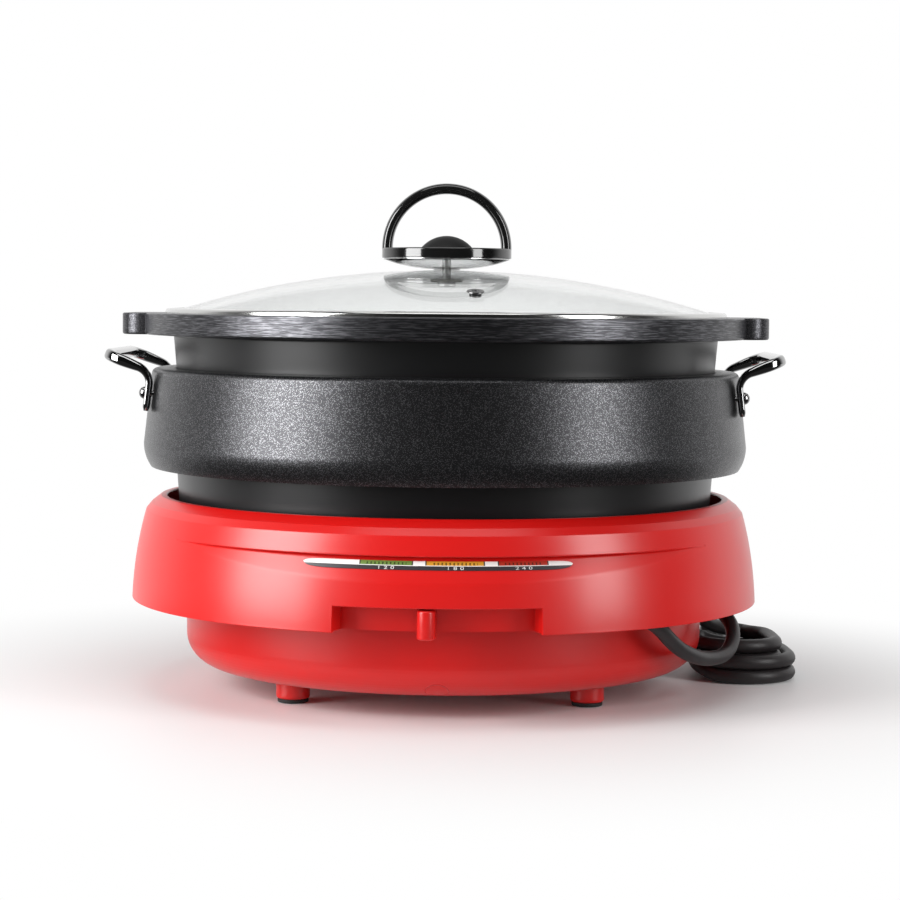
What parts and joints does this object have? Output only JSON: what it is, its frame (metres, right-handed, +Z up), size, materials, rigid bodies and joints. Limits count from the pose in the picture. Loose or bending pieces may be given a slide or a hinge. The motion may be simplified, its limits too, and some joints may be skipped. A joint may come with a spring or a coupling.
{
  "type": "electric hot pot with lid",
  "caption": "Countertop electric cooker: heated base with a lever thermostat, lift-out deep pot with ring handles, eared grill plate and loose glass lid.",
  "frame": {"origin": "on the floor under the pots' common upright axis", "axes": "+Z up; the lever and the scale face -Y, so -Y is the front and +X the right seen from the front"},
  "size_m": [0.3855, 0.3463, 0.278],
  "materials": {
    "red_plastic": "glossy moulded red",
    "scale_print": "printed band",
    "foot_rubber": "matte",
    "plain_steel": "zinc plated",
    "shield_steel": "rolled aluminised sheet",
    "element_sheath": "dark oxidised sheath",
    "bush_ceramic": "unglazed",
    "sensor_aluminium": "satin",
    "switch_plastic": "moulded phenolic",
    "terminal_plastic": "natural nylon",
    "wire_jacket": "glass-braid sleeve",
    "pot_coating": "cast, satin black non-stick",
    "ring_coating": "speckled black enamel",
    "plate_coating": "cast, turned edge, black",
    "handle_chrome": "polished",
    "lid_glass": "clear, faint green",
    "rim_steel": "polished",
    "knob_phenolic": "glossy black",
    "cord_rubber": "matte dark grey",
    "plug_plastic": "moulded black",
    "blade_brass": "nickel plated"
  },
  "bodies": {
    "base": {"lower_bowl": "red_plastic", "upper_guard": "red_plastic", "scale_strip": "scale_print", "foot_pads": "foot_rubber", "case_screws": "plain_steel", "heat_shield": "shield_steel", "heating_element": "element_sheath", "element_bushes": "bush_ceramic", "element_supports": "plain_steel", "sensor_guide": "sensor_aluminium", "sensor_spring": "plain_steel", "thermostat_body": "switch_plastic", "thermostat_bracket": "plain_steel", "terminal_block": "terminal_plastic", "thermal_fuse": "wire_jacket", "inner_wires": "wire_jacket", "strain_relief": "cord_rubber", "cord_lead": "cord_rubber", "cord_coil": "cord_rubber", "power_plug": "plug_plastic", "plug_blades": "blade_brass"},
    "sensor": {"sensor_cup": "sensor_aluminium"},
    "lever": {"thermostat_spindle": "plain_steel", "temperature_lever": "plain_steel", "lever_knob": "red_plastic"},
    "pot": {"deep_pot": "pot_coating", "pot_guard_ring": "ring_coating", "pot_handle_right": "handle_chrome", "pot_handle_left": "handle_chrome", "handle_rivets": "handle_chrome"},
    "plate": {"grill_plate": "plate_coating"},
    "lid": {"lid_glass": "lid_glass", "lid_rim": "rim_steel", "vent_eyelet": "rim_steel", "knob_base": "knob_phenolic", "knob_arch": "knob_phenolic", "knob_dome": "knob_phenolic", "knob_screw": "plain_steel", "knob_washer": "plain_steel"}
  },
  "joints": [
    {"name": "lever_swing", "type": "hinge", "parent": "base", "child": "lever", "pos_m": [0, 0, 0.0483], "axis": [0, 0, 1], "range_deg": [-13.7, 17.3]},
    {"name": "sensor_press", "type": "slide", "parent": "base", "child": "sensor", "axis": [0, 0, 1], "range_m": [-0.002, 0], "stiffness_N_per_m": 300, "springref_m": 0.002, "deforming": ["sensor_spring"]},
    {"name": "pot_lift", "type": "slide", "parent": "base", "child": "pot", "axis": [0, 0, 1], "range_m": [0, 0.1]},
    {"name": "plate_lift", "type": "slide", "parent": "pot", "child": "plate", "axis": [0, 0, 1], "range_m": [0, 0.07]},
    {"name": "lid_lift", "type": "slide", "parent": "plate", "child": "lid", "axis": [0, 0, 1], "range_m": [0, 0.12]}
  ]
}
